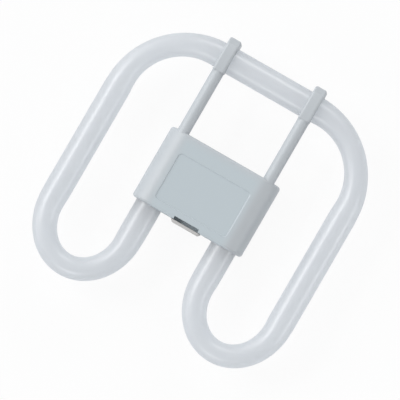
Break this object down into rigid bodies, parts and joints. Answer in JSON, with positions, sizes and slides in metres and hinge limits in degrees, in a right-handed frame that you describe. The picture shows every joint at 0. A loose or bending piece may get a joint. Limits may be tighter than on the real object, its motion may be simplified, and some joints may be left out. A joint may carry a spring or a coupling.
{
  "type": "energy saving bulb",
  "caption": "Flat butterfly-shaped compact fluorescent lamp: a coated glass tube bent in one plane, held by a moulded housing with hooked support arms and a rear socket well with contact pins.",
  "frame": {"origin": "midway between the contact pins, on the rear seating face that the lamp lies on", "axes": "+X across the lamp, +Y along its legs from the bends towards the hooks, +Z out of its front"},
  "size_m": [0.138, 0.1394, 0.0274],
  "materials": {
    "coated_glass": "clear gloss over a white coating",
    "cover_plastic": "satin moulded",
    "base_plastic": "satin moulded",
    "pin_brass": "turned",
    "lead_sleeve": "sleeved wire",
    "starter_glass": "clear",
    "capacitor_case": "dipped",
    "cement": "rough"
  },
  "bodies": {
    "root": {"discharge_tube": "coated_glass", "front_cover": "cover_plastic", "rear_base": "base_plastic", "contact_pin_left": "pin_brass", "contact_pin_right": "pin_brass", "pin_lead_left": "lead_sleeve", "pin_lead_right": "lead_sleeve", "starter_bulb": "starter_glass", "starter_capacitor": "capacitor_case", "starter_lead_left": "lead_sleeve", "starter_lead_right": "lead_sleeve", "tube_cement_left": "cement", "tube_cement_right": "cement"}
  },
  "joints": []
}
